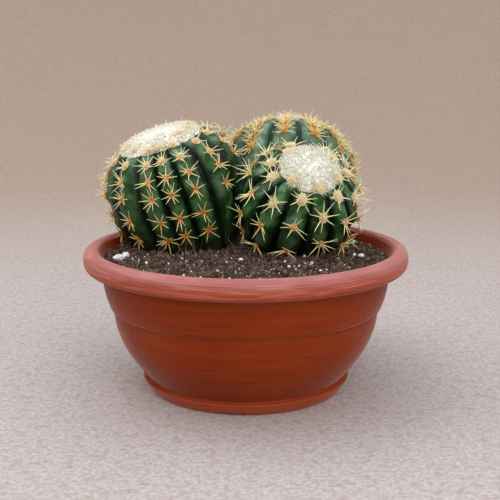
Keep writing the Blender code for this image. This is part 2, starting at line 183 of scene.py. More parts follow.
def lattice(ix, iy, iz, seed):
    """A repeatable number from 0 to 1 at each point of a grid."""
    mixed = ix * 374761393 + iy * 668265263 + iz * 2147483647 + seed * 974711
    mixed = (mixed ^ (mixed >> 13)) * 1274126177
    mixed = mixed ^ (mixed >> 16)
    return (mixed & 0xFFFFFF) / float(0xFFFFFF)


def noise(points, size, seed=0):
    """Smooth noise from -1 to 1 whose features measure about size."""
    scaled = np.asarray(points, float) / size
    cell = np.floor(scaled).astype(np.int64)
    part = scaled - cell
    part = part * part * (3.0 - 2.0 * part)
    total = np.zeros(scaled.shape[:-1])
    for corner in range(8):
        step = np.array([corner & 1, corner >> 1 & 1, corner >> 2 & 1])
        weight = np.prod(np.where(step, part, 1.0 - part), axis=-1)
        at = cell + step
        total += weight * lattice(at[..., 0], at[..., 1], at[..., 2], seed)
    return 2.0 * total - 1.0


def layered(points, layers):
    """Noise summed over layers of (height, feature size, seed)."""
    return sum(height * noise(points, size, seed) for height, size, seed in layers)


def unit(vectors):
    return vectors / np.maximum(np.linalg.norm(vectors, axis=-1, keepdims=True), 1e-12)


# ---------------- the plants


class Plant:
    """One cactus, as in the CAD: where its stem stands, its size, its lean and its ribs."""

    def __init__(self, name, centre, radius, crown, base, lean, ribs, areoles, shifts, wool_angle,
                 rib_depth, crown_width, crown_height, base_power, **looks):
        self.name = name
        self.centre = np.array(centre)
        self.radius = radius
        self.crown = crown
        self.base = base
        side, forward = lean
        sideways = Matrix.Rotation(math.radians(side), 3, "Y")
        self.turn = np.array(sideways @ Matrix.Rotation(math.radians(forward), 3, "X"))
        self.ribs = np.radians(np.array(list(ribs) + [ribs[0] + 360.0], float))
        self.count = len(ribs)
        self.areoles = areoles
        self.shifts = np.array(shifts, float)
        self.wool_angle = wool_angle
        self.rib_depth = rib_depth
        self.crown_width = crown_width
        self.crown_height = crown_height
        self.base_power = base_power
        self.looks = looks
        self.meetings = []
        self.limits = []

    def azimuth(self, phase):
        """The angle round the stem at a rib number, where 2.5 is the furrow after rib 2."""
        return np.interp(np.mod(phase, self.count), np.arange(self.count + 1), self.ribs)

    def rib_areoles(self, rib):
        """The angles from the crown of the clusters on one rib."""
        return np.array(self.areoles) + self.shifts[rib]

    def depth_at(self, polar):
        """How deep the furrows are: shallow at the crown and at the base."""
        fade_in = smooth(math.radians(8.0), math.radians(45.0), polar)
        fade_out = 1.0 - 0.7 * smooth(math.radians(105.0), math.radians(150.0), polar)
        return self.rib_depth * fade_in * fade_out

    def swelling(self, phase, polar):
        """The chin that each cluster stands on: 1 at a cluster, 0 between two of them."""
        rib = np.mod(np.round(phase), self.count).astype(int)
        step = math.radians(self.areoles[1] - self.areoles[0])
        start = np.radians(self.areoles[0] + self.shifts[rib])
        wave = 0.5 + 0.5 * np.cos(2.0 * math.pi * (polar - start) / step)
        return wave ** 1.5

    def point(self, phase, polar, grow=0.0):
        """Points of the ribbed stem, in the bowl's frame, pressed flat where stems meet."""
        phase, polar = np.broadcast_arrays(np.asarray(phase, float), np.asarray(polar, float))
        sine = np.maximum(np.sin(polar), 0.0)
        cosine = np.cos(polar)
        azimuth = self.azimuth(phase)
        power = np.where(cosine > 0, self.crown_width, self.base_power)
        height = np.where(cosine > 0, self.crown, self.base)
        level = np.where(cosine > 0, self.crown_height, 0.92)
        crest = np.abs(np.cos(math.pi * phase))
        depth = self.depth_at(polar)
        notch = self.looks["notch"] * smooth(0.55, 1.0, crest) * (1.0 - self.swelling(phase, polar))
        fade = smooth(math.radians(20.0), math.radians(50.0), polar)
        furrow = 1.0 - depth * (1.0 - crest ** self.looks["crest_power"]) - notch * fade
        reach = (self.radius + grow) * sine ** power * furrow
        up = np.copysign((height + grow) * np.abs(cosine) ** level, cosine)
        local = np.stack([reach * np.sin(azimuth), -reach * np.cos(azimuth), up], axis=-1)
        place = self.centre + local @ self.turn.T
        for where, towards in self.meetings + self.limits:
            place = pressed(place, where, towards)
        return inside_rim(place)

    def outward(self, phase, polar):
        """The directions that point away from the stem."""
        step = math.radians(2.0)
        along = self.point(phase, polar + step) - self.point(phase, polar - step)
        across = self.point(np.asarray(phase) + 0.04, polar) - self.point(np.asarray(phase) - 0.04, polar)
        return unit(np.cross(along, across))


def pressed(place, where, towards):
    """Moves points that lie past a contact plane back to its near side."""
    past = (place - where) @ towards + PRESS_WIDTH
    kept = PRESS_WIDTH * (1.0 - np.exp(-np.maximum(past, 0.0) / PRESS_WIDTH))
    return place + np.where(past > 0.0, kept - past, 0.0)[..., None] * towards


def inside_rim(place):
    """Moves points that would lie in the bowl's wall inwards, and lets a stem bulge over the rim."""
    above = np.maximum(place[..., 2] - RIM_TOP - RIM_SPACE, 0.0)
    limit = inner_radius(np.minimum(place[..., 2], RIM_TOP - MOUTH_DROP)) - RIM_SPACE + RIM_BULGE * above
    radius = np.hypot(place[..., 0], place[..., 1])
    past = radius - limit + PRESS_WIDTH
    kept = PRESS_WIDTH * (1.0 - np.exp(-np.maximum(past, 0.0) / PRESS_WIDTH))
    share = np.where(past > 0.0, (radius - past + kept) / np.maximum(radius, 1e-9), 1.0)
    scale = np.stack([share, share, np.ones_like(share)], axis=-1)
    return place * scale


def wall_radius(height):
    """The outer radius of the bowl's wall: a curved lower wall, a step, and a band under the lip."""
    height = np.asarray(height, float)
    low = np.clip((height - FOOT_HEIGHT) / (STEP_HEIGHT - FOOT_HEIGHT), 0.0, 1.0)
    lower = STEP_RADIUS - (STEP_RADIUS - WALL_BASE_RADIUS) * (1.0 - low) ** 2
    high = np.clip((height - BAND_BASE) / (LIP_BASE - BAND_BASE), 0.0, 1.0)
    band = BAND_BASE_RADIUS + (BAND_TOP_RADIUS - BAND_BASE_RADIUS) * (1.0 - (1.0 - high) ** 2)
    return np.where(height < BAND_BASE, lower, band)


def inner_radius(height):
    """The inner radius of the bowl, which opens out to the mouth above the wall."""
    start = LIP_BASE - FLARE_DROP
    share = np.clip((np.asarray(height, float) - start) / (RIM_TOP - MOUTH_DROP - start), 0.0, 1.0)
    low = wall_radius(start) - WALL
    flare = low + (MOUTH_RADIUS - low) * share ** 1.6
    return np.where(np.asarray(height) < start, wall_radius(height) - WALL, flare)


def even_ribs(count, first):
    return [first + 360.0 * number / count for number in range(count)]


LEFT = Plant(
    name="left", centre=(-0.0555, 0.042, 0.147), radius=0.057, crown=0.047, base=0.055,
    lean=(-17.0, 9.0), ribs=[-130, -103, -76, -43, -15, 1, 20, 48, 77, 108, 140, 171, 201],
    areoles=[44, 63, 80, 95, 111], shifts=[-4, -4, -5, -4, 0, 0, 2, -8, -8, -6, -4, -4, -4],
    wool_angle=28.0, rib_depth=0.16, crown_width=0.74, crown_height=0.72, base_power=0.45,
    crest_power=0.6, notch=0.035, spine=0.0088, felt=0.0023, age=0.36, bloom=0.75, slot="stem_green",
)
RIGHT = Plant(
    name="right", centre=(0.0415, 0.012, 0.1405), radius=0.0475, crown=0.0425, base=0.046,
    lean=(13.0, 38.0), ribs=[-64, -35, -5, 24, 52, 79, 106, 133, 160, 187, 214, 241, 268],
    areoles=[35, 64, 93, 121], shifts=[0, 16, 0, 16, 0, 16, 0, 16, 0, 16, 0, 16, 0],
    wool_angle=26.0, rib_depth=0.2, crown_width=0.87, crown_height=0.92, base_power=0.9,
    crest_power=0.75, notch=0.13, spine=0.0112, felt=0.0028, age=0.1, bloom=1.25, slot="stem_green",
)
REAR = Plant(
    name="rear", centre=(0.035, 0.071, 0.1515), radius=0.0565, crown=0.048, base=0.050,
    lean=(5.0, -28.0), ribs=even_ribs(13, -175.0),
    areoles=[32, 49, 66, 83, 100], shifts=[0] * 13,
    wool_angle=20.0, rib_depth=0.17, crown_width=0.82, crown_height=0.86, base_power=1.1,
    crest_power=0.6, notch=0.035, spine=0.0100, felt=0.0022, age=0.62, bloom=1.0,
    slot="stem_blue_green", extra=3, dense=True,
)
PLANTS = [LEFT, RIGHT, REAR]
MEETINGS = [(LEFT, RIGHT, 0.53), (LEFT, REAR, 0.49), (RIGHT, REAR, 0.47)]


def set_meetings():
    """Presses each pair of stems flat where they meet, and keeps the rear one over the bowl."""
    for first, second, share in MEETINGS:
        between = second.centre - first.centre
        towards = unit(between)
        where = first.centre + share * between
        first.meetings.append((where - GAP * towards, towards))
        second.meetings.append((where + GAP * towards, -towards))
    REAR.limits.append((np.array([0.0, REAR_LIMIT, 0.0]), np.array([0.0, 1.0, 0.0])))


# ---------------- meshes


def add_mesh(name, verts, faces, material, slot=None, replaced=(), smooth_shade=True, uv=None, masks=None):
    """A mesh object; one with a slot is a piece that rides on the bowl's one body."""
    mesh = bpy.data.meshes.new(name)
    mesh.from_pydata(np.asarray(verts).tolist(), [], faces)
    mesh.validate()
    if smooth_shade:
        mesh.shade_smooth()
    if uv is not None:
        layer = mesh.uv_layers.new(name="OFBake")
        layer.data.foreach_set("uv", np.asarray(uv, np.float32).ravel())
    for label, values in (masks or {}).items():
        attribute = mesh.attributes.new(label, "FLOAT", "POINT")
        attribute.data.foreach_set("value", np.asarray(values, np.float32).ravel())
    mesh.materials.append(material)
    thing = bpy.data.objects.new(name, mesh)
    bpy.context.collection.objects.link(thing)
    if slot is not None:
        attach(thing, "root")
        if replaced:
            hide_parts(*replaced)
    return thing


def grid_faces(rings, columns):
    """Quads between neighbouring rings; the columns close on themselves."""
    faces = []
    for ring in range(rings - 1):
        for column in range(columns):
            a = ring * columns + column
            b = ring * columns + (column + 1) % columns
            faces.append((a, a + columns, b + columns, b))
    return faces


def closed_faces(rings, columns):
    """A grid with a fan at each end, to two points that follow the last ring."""
    faces = grid_faces(rings, columns)
    total = rings * columns
    last = total - columns
    for j in range(columns):
        k = (j + 1) % columns
        faces.append((total, j, k))
        faces.append((total + 1, last + k, last + j))
    return faces


def turned(rings, columns):
    """Rings of points round the bowl's axis, from (radius, height) pairs, starting at the front."""
    angles = np.arange(columns) * 2.0 * math.pi / columns
    east, north = np.outer(rings[:, 0], np.sin(angles)), -np.outer(rings[:, 0], np.cos(angles))
    return np.stack([east, north, np.repeat(rings[:, 1:], columns, axis=1)], axis=-1)


def strands(paths, radii, shade, sides=4):
    """Tapered tubes along paths, closed at both ends, with a map of u along and v by shade.

    paths is (count, knots, 3), radii (count, knots), shade (count,) from 0 to 1.
    """
    count, knots, _ = paths.shape
    along = unit(np.gradient(paths, axis=1))
    helper = np.where(np.abs(along[..., 2:3]) < 0.9, [[[0.0, 0.0, 1.0]]], [[[1.0, 0.0, 0.0]]])
    side = unit(np.cross(along, helper))
    other = np.cross(along, side)
    angles = np.arange(sides) * 2.0 * math.pi / sides
    ring = np.cos(angles)[:, None] * side[:, :, None, :] + np.sin(angles)[:, None] * other[:, :, None, :]
    verts = (paths[:, :, None, :] + ring * radii[:, :, None, None]).reshape(-1, 3)
    faces = []
    corners = []
    margin, band = 0.01, 0.05
    low = margin + np.asarray(shade) * (1.0 - 2.0 * margin - band)
    u = margin + (1.0 - 2.0 * margin) * np.arange(knots) / (knots - 1)
    for one in range(count):
        base = one * knots * sides
        v = [low[one] + band * min(j, sides - j) / (sides / 2.0) for j in range(sides + 1)]
        for knot in range(knots - 1):
            for j in range(sides):
                k = (j + 1) % sides
                a = base + knot * sides
                faces.append((a + j, a + k, a + sides + k, a + sides + j))
                corners += [(u[knot], v[j]), (u[knot], v[j + 1])]
                corners += [(u[knot + 1], v[j + 1]), (u[knot + 1], v[j])]
        faces.append(tuple(base + j for j in reversed(range(sides))))
        corners += cap_corners(u[0], u[0] + margin, v, sides, u[0])
        top = base + (knots - 1) * sides
        faces.append(tuple(top + j for j in range(sides)))
        corners += cap_corners(u[-1] - margin, u[-1], v, sides, u[-1])
    return verts, faces, corners


def cap_corners(left, right, v, sides, rest):
    """Where the corners of a strand's end lie in the map: the first four on a patch, others at rest."""
    patch = [(left, v[0]), (right, v[0]), (right, v[1]), (left, v[1])]
    return patch[:sides] + [(rest, v[1])] * (sides - 4)


def join_parts(parts):
    """Several (verts, faces, corners) made one."""
    verts, faces, corners, base = [], [], [], 0
    for some_verts, some_faces, some_corners in parts:
        verts.append(some_verts)
        faces += [tuple(index + base for index in face) for face in some_faces]
        corners += list(some_corners)
        base += len(some_verts)
    return np.concatenate(verts), faces, corners


def add_strands(name, paths, radii, shade, sides, material, slot, replaced=()):
    verts, faces, corners = strands(paths, radii, shade, sides)
    add_mesh(name, verts, faces, material, slot, replaced, uv=corners)


# ---------------- materials


class Shader:
    """A Principled material built from short calls."""

    def __init__(self, name, **fixed):
        self.material = bpy.data.materials.new(name)
        self.material.use_nodes = True
        self.tree = self.material.node_tree
        self.main = self.tree.nodes["Principled BSDF"]
        for socket, value in fixed.items():
            self.main.inputs[socket.replace("_", " ").title().replace("Ior", "IOR")].default_value = value

    def node(self, kind, links=None, **settings):
        made = self.tree.nodes.new(kind)
        for key, value in settings.items():
            setattr(made, key, value)
        for socket, value in (links or {}).items():
            self.feed(made.inputs[socket], value)
        return made

    def feed(self, socket, value):
        if isinstance(value, bpy.types.NodeSocket):
            self.tree.links.new(value, socket)
        elif isinstance(value, tuple) and len(value) == 3 and socket.type == "RGBA":
            socket.default_value = (*value, 1.0)
        else:
            socket.default_value = value

    def place(self):
        return self.node("ShaderNodeTexCoord").outputs["Object"]

    def noise(self, scale, detail=4.0, rough=0.55, where=None):
        vector = where if where is not None else self.place()
        made = self.node("ShaderNodeTexNoise", {"Vector": vector, "Scale": scale, "Detail": detail,
                                                "Roughness": rough})
        return made.outputs["Fac"]

    def ramp(self, fac, stops):
        made = self.node("ShaderNodeValToRGB", {"Fac": fac})
        while len(made.color_ramp.elements) < len(stops):
            made.color_ramp.elements.new(0.5)
        for element, (at, colour) in zip(made.color_ramp.elements, stops):
            element.position = at
            element.color = (*colour, 1.0) if isinstance(colour, tuple) else (colour, colour, colour, 1.0)
        return made.outputs["Color"]

    def blend(self, fac, first, second):
        made = self.node("ShaderNodeMix", data_type="RGBA")
        for socket, value in ((0, fac), (6, first), (7, second)):
            self.feed(made.inputs[socket], value)
        return made.outputs[2]

    def stain(self, colour, tint, fac, low, high, most=1.0):
        """The colour, with up to most of tint where fac rises from low to high."""
        return self.blend(self.rise(fac, low, high, most), colour, tint)

    def rise(self, fac, low, high, most=1.0):
        return self.ramp(fac, [(low, 0.0), (high, most)])

    def maths(self, kind, first, second=0.0):
        return self.node("ShaderNodeMath", {0: first, 1: second}, operation=kind).outputs[0]

    def times(self, first, second):
        return self.maths("MULTIPLY", first, second)

    def mask(self, label):
        return self.node("ShaderNodeAttribute", attribute_name=label).outputs["Fac"]

    def bump(self, height, strength, distance):
        made = self.node("ShaderNodeBump", {"Height": height, "Strength": strength, "Distance": distance})
        self.tree.links.new(made.outputs["Normal"], self.main.inputs["Normal"])

    def colour(self, value):
        self.feed(self.main.inputs["Base Color"], value)

    def roughness(self, value):
        self.feed(self.main.inputs["Roughness"], value)


def linear(*screen):
    """A colour given as three screen values from 0 to 255, as the shader's own values."""
    return tuple(((v / 255.0 + 0.055) / 1.055) ** 2.4 if v > 10 else v / 255.0 / 12.92 for v in screen)


def tones(*stops):
    """A ramp's stops from pairs of a place and a screen colour."""
    return [(at, linear(*colour)) for at, colour in stops]


def fade(first, second):
    """A ramp's stops from one screen colour to another."""
    return tones((0.0, first), (1.0, second))


def bowl_material():
    """Terracotta-coloured plastic: a painted reflection of the bright sky that lightens the lip's outer face
    and is pinkest on its top, and fine turned lines.
    """
    shader = Shader("bowl_plastic", roughness=0.45, specular_ior_level=0.14, sheen_weight=0.35,
                    sheen_roughness=0.3)
    shader.main.inputs["Sheen Tint"].default_value = (1.0, 0.72, 0.62, 1.0)
    where = shader.place()
    part = shader.node("ShaderNodeSeparateXYZ", {0: where})
    x, y, z = part.outputs
    radius = shader.maths("SQRT", shader.maths("ADD", shader.times(x, x), shader.times(y, y)))
    east = shader.times(shader.maths("DIVIDE", x, radius), 0.007)
    north = shader.times(shader.maths("DIVIDE", y, radius), 0.007)
    climb = shader.maths("ADD", z, shader.times(radius, 0.6))
    around = shader.node("ShaderNodeCombineXYZ", {0: east, 1: north, 2: climb}).outputs[0]
    broad = shader.noise(11.0, 3.0)
    fine = shader.noise(260.0, 4.0)
    lines = shader.noise(620.0, 2.0, 0.5, where=around)
    wide_lines = shader.noise(240.0, 3.0, 0.6, where=around)
    colour = shader.ramp(broad, tones((0.3, (120, 37, 0)), (0.7, (132, 47, 2))))
    colour = shader.stain(colour, linear(168, 80, 34), wide_lines, 0.45, 0.65, 0.15)
    streaks = shader.rise(lines, 0.42, 0.68)
    # Painted reflection: the lip's outer face is painted lighter and its top pinker, in place of the bright
    # sky it reflects.
    film = shader.mask("film")
    face = shader.blend(shader.times(streaks, 0.85), linear(158, 70, 52), linear(194, 114, 98))
    top = shader.blend(shader.times(streaks, 0.6), linear(162, 98, 94), linear(188, 132, 128))
    lip = shader.stain(face, top, film, 0.45, 0.95, 1.0)
    on_lip = shader.maths("GREATER_THAN", film, 0.001)
    cover = shader.times(shader.ramp(film, [(0.0, 0.45), (0.08, 0.7), (0.4, 0.95)]), on_lip)
    colour = shader.blend(cover, colour, lip)
    foot = shader.ramp(z, [(0.0085, 0.7), (0.0105, 0.0)])
    colour = shader.blend(foot, colour, linear(172, 80, 52))
    scuffs = shader.rise(shader.noise(34.0, 6.0, 0.7), 0.6, 0.72, 0.3)
    scuffs = shader.times(scuffs, shader.rise(fine, 0.4, 0.6))
    colour = shader.blend(scuffs, colour, linear(172, 92, 66))
    shader.colour(colour)
    shader.roughness(shader.ramp(fine, [(0.3, 0.44), (0.7, 0.58)]))
    height = shader.maths("ADD", shader.times(lines, 0.75), shader.times(fine, 0.25))
    shader.bump(height, 0.7, 0.0006)
    return shader.material


def stem_material(name, skin):
    """Green skin: painted shade in the furrows, painted highlights along the crests, a pale bluish bloom on
    the ribs painted lighter on upward faces, darker near the soil.
    """
    deep, mid, pale, bloom = (linear(*colour) for colour in skin)
    shader = Shader(name, roughness=0.42, specular_ior_level=0.2)
    broad = shader.noise(42.0, 4.0)
    fine = shader.noise(420.0, 5.0, 0.6)
    speckle = shader.noise(1300.0, 2.0)
    crest = shader.mask("crest")
    colour = shader.ramp(broad, [(0.34, deep), (0.54, mid), (0.76, pale)])
    colour = shader.stain(colour, pale, fine, 0.45, 0.85, 0.35)
    # Painted highlight along the rib crests, in the pale colour.
    painted_crest_highlight = shader.times(shader.rise(crest, 0.66, 0.96),
                         shader.ramp(shader.noise(110.0, 4.0, 0.6), [(0.36, 0.15), (0.62, 0.8)]))
    colour = shader.blend(painted_crest_highlight, colour, pale)
    # Bloom patches on the crests, which also carry the painted sky light of the bloom mask.
    film = shader.times(shader.rise(shader.noise(48.0, 6.0, 0.7), 0.47, 0.58),
                        shader.rise(crest, 0.3, 0.75))
    film = shader.times(film, shader.mask("bloom"))
    colour = shader.blend(shader.times(film, 0.75), colour, bloom)
    colour = shader.stain(colour, bloom, speckle, 0.64, 0.72, 0.3)
    # Painted shade: the furrows are darkened to the deep colour.
    colour = shader.blend(shader.ramp(crest, [(0.05, 1.0), (0.48, 0.0)]), colour, deep)
    # Darker towards the soil: the skin is blended to a near-black olive there.
    colour = shader.blend(shader.times(shader.mask("low"), 0.85), colour, linear(22, 22, 8))
    shader.colour(colour)
    shader.roughness(shader.ramp(film, [(0.0, 0.34), (1.0, 0.6)]))
    shader.bump(shader.maths("ADD", shader.times(fine, 0.6), shader.times(speckle, 0.4)), 0.22, 0.0004)
    return shader.material


def strand_material(name, young, old, rough, gloss=0.25):
    """Colour along each strand by u and from young to old by v, so that a baked map holds it."""
    shader = Shader(name, roughness=rough, specular_ior_level=gloss)
    where = shader.node("ShaderNodeUVMap", uv_map="OFBake").outputs[0]
    split = shader.node("ShaderNodeSeparateXYZ", {0: where})
    fresh = shader.ramp(split.outputs[0], young)
    worn = shader.ramp(split.outputs[0], old)
    shader.colour(shader.blend(split.outputs[1], fresh, worn))
    return shader.material


def soil_material():
    shader = Shader("potting_soil", roughness=0.92, specular_ior_level=0.2)
    broad = shader.noise(70.0, 5.0, 0.7)
    fine = shader.noise(520.0, 6.0, 0.75)
    grains = shader.node("ShaderNodeTexVoronoi", {"Vector": shader.place(), "Scale": 520.0})
    colour = shader.ramp(broad, tones((0.3, (16, 11, 8)), (0.5, (42, 31, 26)), (0.72, (78, 66, 60))))
    colour = shader.stain(colour, linear(118, 98, 84), fine, 0.45, 0.75, 0.6)
    colour = shader.blend(shader.ramp(grains.outputs["Color"], [(0.8, 0.0), (0.95, 0.4)]), colour,
                          linear(24, 15, 10))
    shader.colour(colour)
    shader.bump(shader.maths("ADD", fine, grains.outputs["Distance"]), 0.8, 0.0012)
    return shader.material


def pale_material(name, dark, light, size):
    """Rough pale stuff with small shaded pores: perlite, or felt."""
    shader = Shader(name, roughness=0.92, specular_ior_level=0.05)
    pores = shader.noise(size, 5.0, 0.7)
    shader.colour(shader.ramp(pores, tones((0.3, dark), (0.55, light))))
    shader.bump(pores, 0.6, 0.0006)
    return shader.material


def floor_material():
    """Pale cloth, warmer where it rises behind the bowl."""
    shader = Shader("floor_paper", roughness=0.95, specular_ior_level=0.1)
    weave = shader.noise(300.0, 6.0, 0.75)
    soft = shader.noise(7.0, 3.0)
    spot = shader.noise(120.0, 5.0, 0.75)
    near = shader.ramp(weave, tones((0.36, (160, 153, 151)), (0.64, (198, 192, 192))))
    near = shader.stain(near, linear(158, 142, 132), spot, 0.5, 0.66, 0.7)
    far = shader.ramp(weave, tones((0.38, (156, 139, 126)), (0.62, (180, 162, 148))))
    far = shader.stain(far, linear(148, 127, 112), spot, 0.5, 0.68, 0.4)
    colour = shader.blend(shader.mask("far"), near, far)
    colour = shader.stain(colour, linear(156, 142, 131), soft, 0.4, 0.7, 0.12)
    shader.colour(colour)
    shader.bump(weave, 0.2, 0.0008)
    return shader.material


# ---------------- the bowl


def rippled_wall(start, end, count):
    """Points down the outside of the wall, with fine turned ripples."""
    points = []
    for height in np.linspace(start, end, count):
        ripple = RIPPLE_HEIGHT * math.sin(height * RIPPLE_RATE)
        points.append((wall_radius(height) + ripple, height))
    return points


def bowl_profile():
    """(radius, height) from the middle of the inner floor round the lip to the middle underneath."""
    points = [(0.0, FLOOR_TOP), (0.03, FLOOR_TOP), (0.06, FLOOR_TOP)]
    points.append((wall_radius(FOOT_HEIGHT) - WALL - 0.004, FLOOR_TOP))
    for height in np.linspace(FOOT_HEIGHT + 0.002, RIM_TOP - 0.0030, 44):
        points.append((inner_radius(height), height))
    lip_half = (RIM_TOP - LIP_BASE) / 2.0
    lip_middle = (RIM_TOP + LIP_BASE) / 2.0
    points.append((MOUTH_RADIUS, RIM_TOP - MOUTH_DROP))
    points.append((MOUTH_RADIUS + 0.0006, RIM_TOP - 0.0005))
    bulge = RIM_RADIUS - LIP_CENTRE_RADIUS
    for angle in np.radians(np.linspace(90.0, -90.0, 64)):
        across = max(math.cos(angle), 0.0) ** LIP_ROUNDNESS
        up = math.copysign(abs(math.sin(angle)) ** LIP_ROUNDNESS, math.sin(angle))
        line = LIP_LINE_HEIGHT * math.sin(across * 70.0 + up * 46.0) * (0.3 + 0.7 * across)
        points.append((LIP_CENTRE_RADIUS + bulge * across + line, lip_middle + lip_half * up))
    points.append((BAND_TOP_RADIUS + 0.0006, LIP_BASE))
    points.append((BAND_TOP_RADIUS + 0.0001, LIP_BASE - 0.0004))
    points += rippled_wall(LIP_BASE - 0.001, BAND_BASE + 0.0006, 26)
    points.append((BAND_BASE_RADIUS - 0.0004, BAND_BASE + 0.0001))
    points.append((STEP_RADIUS + 0.0006, STEP_HEIGHT + 0.0004))
    points += rippled_wall(STEP_HEIGHT - 0.0002, FOOT_HEIGHT + 0.0006, 46)
    top = FOOT_RADIUS + FOOT_FLARE
    points += [(WALL_BASE_RADIUS + 0.001, FOOT_HEIGHT), (top - 0.0012, FOOT_HEIGHT - 0.0001),
               (top - 0.0004, FOOT_HEIGHT - 0.0004), (top, FOOT_HEIGHT - 0.0011)]
    for height in np.linspace(FOOT_HEIGHT - 0.002, 0.0009, 8):
        share = height / FOOT_HEIGHT
        points.append((FOOT_RADIUS + 0.0004 + (FOOT_FLARE - 0.0004) * share ** 0.9, height))
    inside = FOOT_RADIUS - FOOT_WIDTH
    points += [(FOOT_RADIUS + 0.0001, 0.0002), (FOOT_RADIUS - 0.0004, 0.0), (inside, 0.0)]
    points += [(radius, FLOOR_BOTTOM) for radius in (inside - 0.0008, 0.05, 0.02, 0.0)]
    return points


def drill(bowl, place):
    """Cuts one drain hole through the bowl's floor."""
    bm = bmesh.new()
    bmesh.ops.create_cone(bm, cap_ends=True, segments=24, radius1=DRAIN_HOLE_RADIUS,
                          radius2=DRAIN_HOLE_RADIUS, depth=0.02)
    bmesh.ops.translate(bm, vec=place, verts=bm.verts)
    mesh = bpy.data.meshes.new("drill")
    bm.to_mesh(mesh)
    bm.free()
    cutter = bpy.data.objects.new("drill", mesh)
    bpy.context.collection.objects.link(cutter)
    cut = bowl.modifiers.new("hole", "BOOLEAN")
    cut.operation = "DIFFERENCE"
    cut.object = cutter
    bpy.context.view_layer.update()
    held = bpy.data.meshes.new_from_object(bowl.evaluated_get(bpy.context.evaluated_depsgraph_get()))
    bowl.modifiers.remove(cut)
    bowl.data = held
    bpy.data.objects.remove(cutter, do_unlink=True)


def make_bowl(material):
    """The whole moulding, turned from its profile, with notches in its foot ring and drain holes."""
    profile = bowl_profile()[::-1]
    rings = np.array(profile[1:-1])
    verts = turned(rings, BOWL_SEGMENTS)
    angles = np.arange(BOWL_SEGMENTS) * 2.0 * math.pi / BOWL_SEGMENTS
    low = (verts[..., 2] < NOTCH_HEIGHT) & (rings[:, :1] > FOOT_RADIUS - FOOT_WIDTH - 0.0001)
    for number in range(NOTCHES):
        middle = math.radians(FIRST_NOTCH_TURN + 360.0 * number / NOTCHES)
        off = np.abs((angles - middle + math.pi) % (2.0 * math.pi) - math.pi) * FOOT_RADIUS
        raised = NOTCH_HEIGHT * (off < NOTCH_WIDTH / 2.0)
        verts[..., 2] = np.where(low, np.maximum(verts[..., 2], raised), verts[..., 2])
    flat = np.concatenate([verts.reshape(-1, 3), [[0.0, 0.0, profile[0][1]]], [[0.0, 0.0, profile[-1][1]]]])
    faces = [tuple(reversed(face)) for face in closed_faces(len(rings), BOWL_SEGMENTS)]
    outer = np.hypot(flat[:, 0], flat[:, 1]) > MOUTH_RADIUS - 0.0002
    # Painted reflection mask: rises up the lip's outer face to its top.
    film = np.where(outer, smooth(LIP_BASE, RIM_TOP - 0.0004, flat[:, 2]), 0.0)
    bowl = add_mesh("bowl_body", flat, faces, material, "bowl_plastic", ["bowl"], masks={"film": film})
    for number in range(DRAIN_HOLES):
        turn = math.radians(360.0 * (number + 0.5) / DRAIN_HOLES)
        x, y = DRAIN_HOLE_PLACE * math.sin(turn), -DRAIN_HOLE_PLACE * math.cos(turn)
        drill(bowl, Vector((x, y, FLOOR_BOTTOM)))


# ---------------- the soil


def soil_height(x, y):
    """The soil rises to its middle and more between the plants' feet, with clods and hollows."""
    radius = np.hypot(x, y)
    share = np.minimum(radius / float(inner_radius(SOIL_EDGE)), 1.0)
    hump = HUMP_HEIGHT * np.exp(-((x - HUMP_PLACE[0]) ** 2 + (y - HUMP_PLACE[1]) ** 2) / HUMP_WIDTH ** 2)
    base = SOIL_CROWN - (SOIL_CROWN - SOIL_EDGE) * share ** 2 + hump
    place = np.stack([x, y, np.zeros_like(x)], axis=-1)
    return base + layered(place, SOIL_NOISE)


def make_soil(material):
    """The soil's finely divided top, and its sides down the inside of the bowl."""
    edge = float(inner_radius(SOIL_EDGE)) - 0.0002
    radii = edge * (np.arange(1, SOIL_RINGS + 1) / SOIL_RINGS) ** 0.8
    top = turned(np.stack([radii, np.zeros(SOIL_RINGS)], axis=1), SOIL_COLUMNS)
    top[..., 2] = soil_height(top[..., 0], top[..., 1])
    sides = [(float(inner_radius(height)) - GAP, height) for height in SOIL_SKIRT]
    skirt = turned(np.array(sides), SOIL_COLUMNS)
    middle = soil_height(np.zeros(1), np.zeros(1))[0]
    ends = [[0.0, 0.0, middle], [0.0, 0.0, SOIL_SKIRT[-1]]]
    verts = np.concatenate([top.reshape(-1, 3), skirt.reshape(-1, 3), ends])
    faces = closed_faces(SOIL_RINGS + len(SOIL_SKIRT), SOIL_COLUMNS)
    add_mesh("soil_bed", verts, faces, material, "potting_soil", ["soil"])


def free_places(count, rng, margin=0.003, edge=0.108):
    """Random places on the soil that are clear of the stems' footprints."""
    found = []
    while len(found) < count:
        radius = edge * math.sqrt(rng.random())
        turn = rng.random() * 2.0 * math.pi
        x, y = radius * math.sin(turn), -radius * math.cos(turn)
        inside = False
        for plant in PLANTS:
            foot = plant.centre - plant.turn[:, 2] * (plant.base * 0.8)
            inside |= math.hypot(x - foot[0], y - foot[1]) < plant.radius * 0.68 - margin
        if not inside:
            found.append((x, y))
    return np.array(found)


